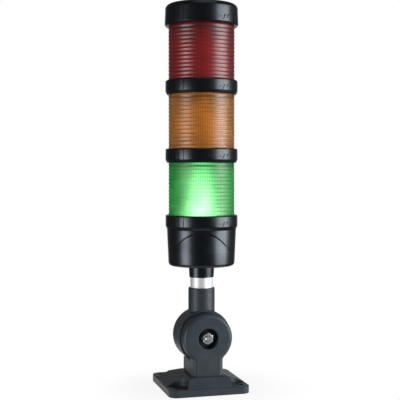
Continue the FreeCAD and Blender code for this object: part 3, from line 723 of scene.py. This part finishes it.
def cap(material):
    """Closed cap: flat top with a broad round, flared skirt with a turned-in lip."""
    foot, top, lip = span("top_cap")
    radius = lip - CAP_FLARE
    shoulder = top - CAP_ROUND
    section = [
        (BAYONET_BORE, foot),
        (lip - LIP_TURN, foot),
        (lip, foot + LIP_ROUND),
        (radius, foot + SKIRT_TOP),
        (radius, top),
        (CAP_MIDDLE, top),
    ]
    inside = [
        (CAP_MIDDLE, top - CAP_WALL),
        (radius - CAP_ROUND, top - CAP_WALL),
        (radius - CAP_WALL, shoulder),
        (radius - CAP_WALL, foot + WEB_TOP),
        (LEDGE_BORE, foot + WEB_TOP),
        (LEDGE_BORE, foot + WEB_FOOT),
        (BAYONET_BORE, foot + WEB_FOOT),
    ]
    section = rounded(section + inside, {1: 0.5, 2: 0.6, 4: CAP_ROUND}, steps=8)
    piece = turned("cap_shell", section, FINE_SIDES)
    edit(piece)
    for level in (top, top - CAP_WALL):

        def wanted(middle, _):
            return near(middle.z, level) and middle.xy.length < CAP_MIDDLE * MM + SLACK

        pick(piece, "edges", wanted)
        bpy.ops.mesh.edge_face_add()
    leave()
    grooves(piece, foot, shoulder, CAP_GRIP_FOOT)
    for side in (0, 180):
        groove(piece, side + NOTCH_AZIMUTH, shoulder, top - NOTCH_DROP, NOTCH_DEPTH)
    join(piece, turning_mark(lip - CAP_MARK_SINK, foot + CAP_MARK_LEVEL))
    smooth(piece)
    dress(piece, "cap", material, "housing_plastic", "top_cap")


# ---------------------------------------------------------------- lenses

# Rounded rings outside, and upright prisms inside
RIBS = 14
RIB_STEPS = 6
RIB_DEPTH = 0.52
PRISMS = 72
PRISM_DEPTH = 0.5
PRISM_END = 1
LENS_WALL = 2.45


def lens(colour, material):
    """Ribbed lens: rounded rings outside, upright prisms inside, a spigot on top."""
    foot, tip, radius = span(f"{colour}_lens")
    collar_top = span(f"{colour}_collar")[1]
    seat = tip - SPIGOT_HEIGHT - SEAT_GAP
    pitch = (seat - collar_top) / RIBS
    bore = radius - LENS_WALL
    section = [(bore, foot), (radius, foot)]
    for rib in range(RIBS):
        for step in range(RIB_STEPS):
            part = step / RIB_STEPS
            sink = RIB_DEPTH * (1 - math.sin(math.pi * part))
            section.append((radius - sink, collar_top + (rib + part) * pitch))
    ledge = seat - LEDGE_THICK
    # The prisms run from just above the foot to just below the slope
    low, high = foot + PRISM_END, ledge - LEDGE_SLOPE - PRISM_END
    section += [
        (radius - RIB_DEPTH, seat),
        *spigot(tip),
        (LEDGE_BORE, ledge),
        (bore, ledge - LEDGE_SLOPE),
        (bore, high),
        (bore, low),
    ]
    piece = turned(f"{colour}_lens_shell", section, 2 * PRISMS)

    def is_valley(place):
        number = round(math.atan2(place.y, place.x) / (math.pi / PRISMS))
        between = low * MM - SLACK < place.z < high * MM + SLACK
        return near(place.xy.length, bore) and number % 2 == 1 and between

    edit(piece)
    pick(piece, "verts", is_valley)
    grow = (bore + PRISM_DEPTH) / bore
    bpy.ops.transform.resize(value=(grow, grow, 1), center_override=(0, 0, 0))
    leave()
    smooth(piece, degrees=50)
    dress(piece, f"{colour}_module", material, f"{colour}_lens_plastic", f"{colour}_lens")


# ---------------------------------------------------------------- base and tube

# Neck of the base, which widens upwards, and wall of the bowl
NECK_BORE = 11.05
NECK_FOOT = 12.0
NECK_TOP = 12.6
NECK_HEIGHT = 11.5
BASE_WALL = 3.6

# The bowl widens by the draft from its bottom to its brim
BOWL_DRAFT = 1.55

# Arched step: a cone with a level axis bounds what is cut back round the upper edge. On the
# side of the base it has this radius, with its crown this far below the brim, and outwards it
# widens by the slope. The cut is deepest at the brim and fades out this far below it
ARCH_RADIUS = 60
ARCH_CROWN = 1.8
ARCH_SLOPE = 0.7
ARCH_DEPTH = 2.8
ARCH_FADE = 22
CONE_SIDES = 256

# The cutting pieces reach this far past what they cut
OVERRUN = 2


def base(material):
    """Bowl of the base with its neck, and an arched step cut round its upper edge."""
    foot, tip, radius = span("base_housing")
    brim = tip - SPIGOT_HEIGHT
    ledge = brim - LEDGE_THICK
    bowl = foot + NECK_HEIGHT
    bottom = radius - BOWL_DRAFT
    section = [
        (NECK_BORE, foot),
        (NECK_FOOT, foot),
        (NECK_TOP, bowl),
        (bottom, bowl),
        (radius, brim - SEAT_GAP),
        *spigot(tip),
        (LEDGE_BORE, tip - RECESS_DEPTH),
        (LEDGE_BORE, ledge),
        (radius - BASE_WALL, ledge - LEDGE_SLOPE),
        (bottom - BASE_WALL, bowl + BASE_WALL),
        (NECK_BORE, bowl + BASE_WALL),
    ]
    section = rounded(section, {1: 0.4, 2: 0.8, 3: 3.5, 4: 0.3}, steps=6)
    piece = turned("base_shell", section, FINE_SIDES)
    outside = radius + OVERRUN
    wedge = [
        (radius - BOWL_DRAFT * ARCH_FADE / (brim - bowl), brim - ARCH_FADE),
        (outside, brim - ARCH_FADE),
        (outside, brim),
        (radius - ARCH_DEPTH, brim),
    ]
    ring = turned("arch_ring", wedge, FINE_SIDES)
    start, end = OVERRUN, outside + OVERRUN
    arches = []
    for side in (0, 180):
        azimuth = STACK_AZIMUTH + side
        bpy.ops.object.select_all(action="DESELECT")
        bpy.ops.mesh.primitive_cone_add(
            vertices=CONE_SIDES,
            radius1=(ARCH_RADIUS + ARCH_SLOPE * (start - radius)) * MM,
            radius2=(ARCH_RADIUS + ARCH_SLOPE * (end - radius)) * MM,
            depth=(end - start) * MM,
            location=towards(
                azimuth, (start + end) / 2 * MM, (brim - ARCH_CROWN - ARCH_RADIUS) * MM
            ),
            rotation=(math.radians(90), 0, math.radians(azimuth)),
        )
        arches.append(bpy.context.object)
        bpy.ops.object.transform_apply()
    arch = arches[0]
    join(arch, arches[1:])
    cut(ring, arch, "INTERSECT")
    cut(piece, ring)
    smooth(piece)
    dress(piece, "arm", material, "housing_plastic", "base_housing")


TUBE_WALL = 1.2


def tube(material):
    """Aluminium tube with lightly broken edges."""
    foot, top, radius = span("tube")
    bore = radius - TUBE_WALL
    section = [(bore, foot), (radius, foot), (radius, top), (bore, top)]
    section = rounded(section, {0: 0.2, 1: 0.3, 2: 0.3, 3: 0.2}, steps=2)
    piece = turned("drawn_tube", section)
    smooth(piece)
    dress(piece, "arm", material, "tube_aluminium", "tube")


# ---------------------------------------------------------------- the whole part


def finish_cad(materials):
    """Materials for the CAD nodes that stay, by their name or by how it ends."""
    for name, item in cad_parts.items():
        if item.hide_render:
            continue
        kind = materials.get(name) or next(
            (material for ending, material in materials.items() if name.endswith(ending)), None
        )
        if kind is None:
            raise ValueError(f"{name} has no material")
        for slot in item.material_slots:
            slot.material = kind


bpy.context.scene.view_settings.view_transform = "Standard"
camera()
studio()
# Wide lamp on the right: the long highlights down the collars and lenses
softbox(
    "right_softbox", azimuth=72, distance=1.3, level=0.25, width=1.0, height=1.0, power=28
)
# Lower, weaker lamp on the left: a thin edge of light there
softbox(
    "left_softbox", azimuth=-56, distance=1.3, level=0.0, width=0.6, height=0.7, power=12
)
# Lamp overhead: the faces that look up, and the shadow under the foot
softbox("top_softbox", azimuth=20, distance=0.5, level=1.5, width=1.0, height=1.0, power=3)
floor()

# Sky-blue tinge in the gloss of the dark plastics
COOL_GLOSS = linear("#dde8f4")

# Black ABS from a spark-eroded mould: blue-black, satin, with broad soft highlights.
# Its grain is 0.1 mm on the real piece, too fine to show, so it is drawn at 0.5 mm
moulded_abs = surface(
    "moulded_black_abs",
    ("#030507", "#070b0f"),
    (18, 2),
    rough=(0.28, 0.34, 4, 4),
    relief=(0.01, 0.2, 0.5, 1),
    sockets={"IOR": 1.54, "Specular Tint": COOL_GLOSS},
)
# Glass-filled nylon: dark grey, a little duller, faintly mottled where the glass lies.
# Mould grain of 0.2 mm, drawn at 0.8 mm
filled_nylon = surface(
    "glass_filled_nylon",
    ("#262d32", "#2e353a"),
    (9, 3),
    rough=(0.42, 0.52, 3, 4),
    relief=(0.03, 0.4, 0.8, 2),
    sockets={"IOR": 1.53, "Specular IOR Level": 0.35, "Specular Tint": COOL_GLOSS},
)
# Drawn and clear-anodised aluminium: pale satin metal with fine lines along the tube.
# Die lines of 0.1 mm, drawn at 0.6 mm
drawn_aluminium = surface(
    "anodised_aluminium",
    ("#cfd0d3", "#dcdddf"),
    (0.6, 3),
    rough=(0.5, 0.6, 0.6, 3),
    relief=(0.01, 0.2, 0.6, 3),
    stretch=(1, 1, 0.03),
    sockets={"Metallic": 0.6},
)
# Zinc-plated steel: bright grey, slightly cloudy, with a soft mirror finish
plated_steel = surface(
    "zinc_plated_steel",
    ("#94979a", "#a4a7aa"),
    (1.5, 3),
    rough=(0.34, 0.44, 1.5, 3),
    relief=(0.01, 0.3, 0.4, 2),
    sockets={"Metallic": 1.0},
)
# Black-oxide steel of the set screws: dark, oily sheen
black_steel = surface(
    "black_oxide_steel",
    ("#24262a", "#34373b"),
    (1.2, 2),
    rough=(0.32, 0.45, 0.8, 2),
    sockets={"Metallic": 1.0},
)
# Turned brass contact pins: warm yellow metal, bright from wiping
turned_brass = surface(
    "turned_brass",
    ("#c79a4e", "#dcb36a"),
    (1.5, 2),
    rough=(0.2, 0.32, 0.6, 2),
    sockets={"Metallic": 1.0},
)
# Moulded EPDM rubber: matt black with a dusty bloom
seal_rubber = surface(
    "epdm_rubber",
    ("#151516", "#232425"),
    (2, 4),
    rough=(0.6, 0.78, 1, 2),
    relief=(0.03, 0.4, 0.5, 2),
    sockets={"IOR": 1.5},
)
# Grey polyamide of the terminal block: plain satin moulding
grey_polyamide = surface(
    "grey_polyamide",
    ("#6e7476", "#7c8284"),
    (4, 2),
    rough=(0.45, 0.58, 1, 2),
    relief=(0.02, 0.3, 0.6, 2),
)
# Silicone over the LED dies: pale yellow, glossy
led_silicone = surface(
    "led_silicone",
    ("#e8dc8a", "#f0e7a8"),
    (1, 2),
    rough=(0.15, 0.25, 0.8, 2),
    sockets={"IOR": 1.41},
)
# Opal acrylic of the light guides: milky white, soft inside
opal_acrylic = surface(
    "opal_acrylic",
    ("#dcdddb", "#e6e7e4"),
    (8, 2),
    rough=(0.3, 0.4, 2, 2),
    sockets={"IOR": 1.49},
)
green_foot, green_top = (level * MM for level in span("green_lens")[:2])

# Surface shades, roughness, density and deep colour of each lens: red is dark and dense,
# amber thin and warm, and green satin enough to spread the light behind it
lenses = {
    "red": polycarbonate("red", ("#d2242c", "#a4161e"), 0.38, 150, "#bc0000"),
    "amber": polycarbonate("amber", ("#f6c25a", "#c89c40"), 0.38, 85, "#ab0000"),
    "green": polycarbonate("green", ("#62e67e", "#40be60"), 0.45, 280, "#00ead6"),
}

for colour in COLOURS:
    collar(colour, moulded_abs)
    lens(colour, lenses[colour])
cap(moulded_abs)
base(moulded_abs)
tube(drawn_aluminium)

finish_cad(
    {
        "bracket_foot": filled_nylon,
        "pivot_arm": filled_nylon,
        "green_light_guide": lit_guide(green_foot, green_top, strong=20.0, weak=6.5),
        "green_leds": lit("lit_led_silicone", 8.0),
        "terminal_block": grey_polyamide,
        "_plate": moulded_abs,
        "pivot_bolt": plated_steel,
        "pivot_nut": plated_steel,
        "_washer": plated_steel,
        "terminal_screws": plated_steel,
        "_grub_screws": black_steel,
        "_pins": turned_brass,
        "_seal": seal_rubber,
        "_grommet": seal_rubber,
        "_led_board": solder_mask(),
        "_leds": led_silicone,
        "_light_guide": opal_acrylic,
    }
)
